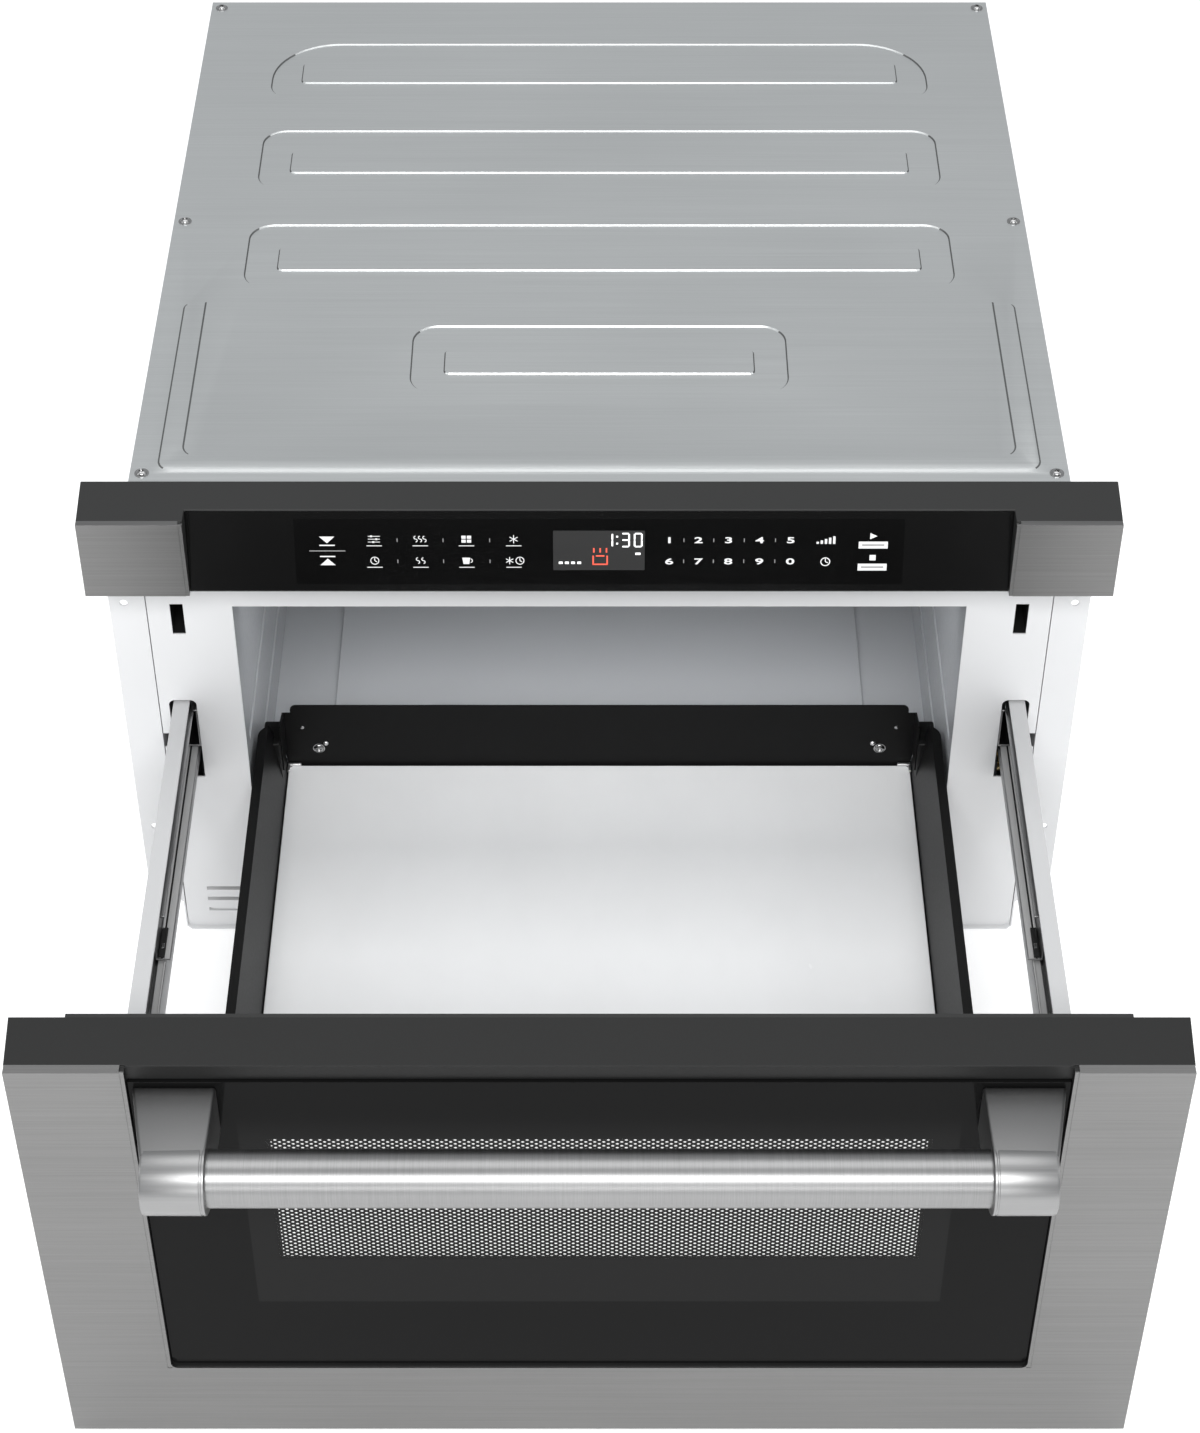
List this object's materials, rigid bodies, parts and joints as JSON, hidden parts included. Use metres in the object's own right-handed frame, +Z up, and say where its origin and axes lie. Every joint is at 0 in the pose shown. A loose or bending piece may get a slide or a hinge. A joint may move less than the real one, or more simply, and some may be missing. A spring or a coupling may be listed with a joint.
{
  "type": "built-in microwave drawer",
  "caption": "Under-counter microwave oven whose stainless-fronted drawer slides out on rails, with a slanted touch panel above and a stamped metal case behind.",
  "frame": {"origin": "underside of the base, at the middle of the width, in the front plane of the mounting flanges", "axes": "+X to the user's right, +Y into the cabinet, +Z up; the drawer is stored fully open, towards -Y"},
  "size_m": [0.6094, 1.0088, 0.3834],
  "materials": {
    "galvanised": "brushed galvanised sheet",
    "white_paint": "satin white powder coat",
    "zinc_steel": "zinc-plated rolled steel",
    "cavity_paint": "smooth pale grey-blue paint",
    "stainless": "brushed along the width",
    "black_paint": "satin black coat",
    "dark_plastic": "fine moulded grain",
    "panel_glass": "polished, printed black behind",
    "tinted_glass": "polished, dark tinted",
    "clear_glass": "polished clear",
    "white_ceramic": "smooth white glass-ceramic, opaque",
    "screw_steel": "bright plated",
    "board_green": "coated board",
    "display_body": "smooth dark filter",
    "source_metal": "bare pressed metal",
    "core_iron": "varnished laminations",
    "capacitor_can": "drawn can",
    "fan_plastic": "moulded",
    "motor_metal": "plain coated can",
    "latch_plastic": "natural acetal",
    "switch_plastic": "moulded",
    "brass": "cut teeth",
    "lamp_glass": "clear bulb in a plated box"
  },
  "bodies": {
    "cabinet": {"rear_panel": "galvanised", "top_cover": "galvanised", "rail_bracket_left": "galvanised", "rail_bracket_right": "galvanised", "drive_bracket": "galvanised", "waveguide": "galvanised", "chassis_base": "white_paint", "side_panel_left": "white_paint", "side_panel_right": "white_paint", "front_frame": "white_paint", "cabinet_rail_left": "zinc_steel", "cabinet_rail_right": "zinc_steel", "cavity_liner": "cavity_paint", "panel_end_left": "stainless", "panel_end_right": "stainless", "control_bezel": "dark_plastic", "cord_gland": "dark_plastic", "touch_glass": "panel_glass", "cavity_floor_plate": "white_ceramic", "case_screws": "screw_steel", "control_board": "board_green", "display_module": "display_body", "magnetron": "source_metal", "hv_transformer": "core_iron", "hv_capacitor": "capacitor_can", "fan_shroud": "fan_plastic", "fan_motor": "motor_metal", "stirrer_motor": "motor_metal", "drive_motor": "motor_metal", "latch_block_left": "latch_plastic", "latch_block_right": "latch_plastic", "interlock_switches": "switch_plastic", "cavity_lamp": "lamp_glass"},
    "drawer": {"door_frame": "dark_plastic", "door_skin": "stainless", "door_glass": "tinted_glass", "window_screen": "black_paint", "inner_pane": "clear_glass", "choke_cover": "dark_plastic", "handle_bar": "stainless", "handle_bracket_left": "stainless", "handle_bracket_right": "stainless", "pan_wall_left": "black_paint", "pan_wall_right": "black_paint", "pan_rear_wall": "black_paint", "pan_base": "black_paint", "glass_tray": "white_ceramic", "pan_screws": "screw_steel", "slide_arm_left": "white_paint", "slide_arm_right": "white_paint", "drawer_rail_left": "zinc_steel", "drawer_rail_right": "zinc_steel", "drive_rack": "latch_plastic"},
    "middle_rail_left": {"mid_rail_left": "zinc_steel"},
    "middle_rail_right": {"mid_rail_right": "zinc_steel"},
    "pinion": {"drive_pinion": "brass"},
    "hook_left": {"latch_hook_left": "latch_plastic"},
    "hook_right": {"latch_hook_right": "latch_plastic"},
    "field_stirrer": {"stirrer": "source_metal"},
    "fan": {"fan_wheel": "fan_plastic"}
  },
  "joints": [
    {"name": "drawer_slide", "type": "slide", "parent": "cabinet", "child": "drawer", "axis": [0, -1, 0], "range_m": [-0.3566, 0]},
    {"name": "middle_rail_left_slide", "type": "slide", "parent": "cabinet", "child": "middle_rail_left", "axis": [0, -1, 0], "range_m": [-0.1783, 0]},
    {"name": "middle_rail_right_slide", "type": "slide", "parent": "cabinet", "child": "middle_rail_right", "axis": [0, -1, 0], "range_m": [-0.1783, 0]},
    {"name": "pinion_spin", "type": "hinge", "parent": "cabinet", "child": "pinion", "pos_m": [0.2614, 0.03, 0.132], "axis": [1, 0, 0], "range_deg": [-2044, 1]},
    {"name": "latch_left_swing", "type": "hinge", "parent": "drawer", "child": "hook_left", "pos_m": [-0.2574, -0.3705, 0.269], "axis": [-1, 0, 0], "range_deg": [0, 6], "stiffness_Nm_per_rad": 0.05, "springref_deg": -2.86},
    {"name": "latch_right_swing", "type": "hinge", "parent": "drawer", "child": "hook_right", "pos_m": [0.2574, -0.3705, 0.269], "axis": [-1, 0, 0], "range_deg": [0, 6], "stiffness_Nm_per_rad": 0.05, "springref_deg": -2.86},
    {"name": "stirrer_spin", "type": "hinge", "parent": "cabinet", "child": "field_stirrer", "pos_m": [0, 0.22, 0.04], "axis": [0, 0, 1], "continuous": true},
    {"name": "fan_spin", "type": "hinge", "parent": "cabinet", "child": "fan", "pos_m": [0.098, 0.492, 0.053], "axis": [1, 0, 0], "continuous": true}
  ],
  "couplings": [
    {"joint": "middle_rail_left_slide", "follows": "drawer_slide", "ratio": 0.5},
    {"joint": "middle_rail_right_slide", "follows": "drawer_slide", "ratio": 0.5},
    {"joint": "pinion_spin", "follows": "drawer_slide", "rad_per_m": 100}
  ]
}
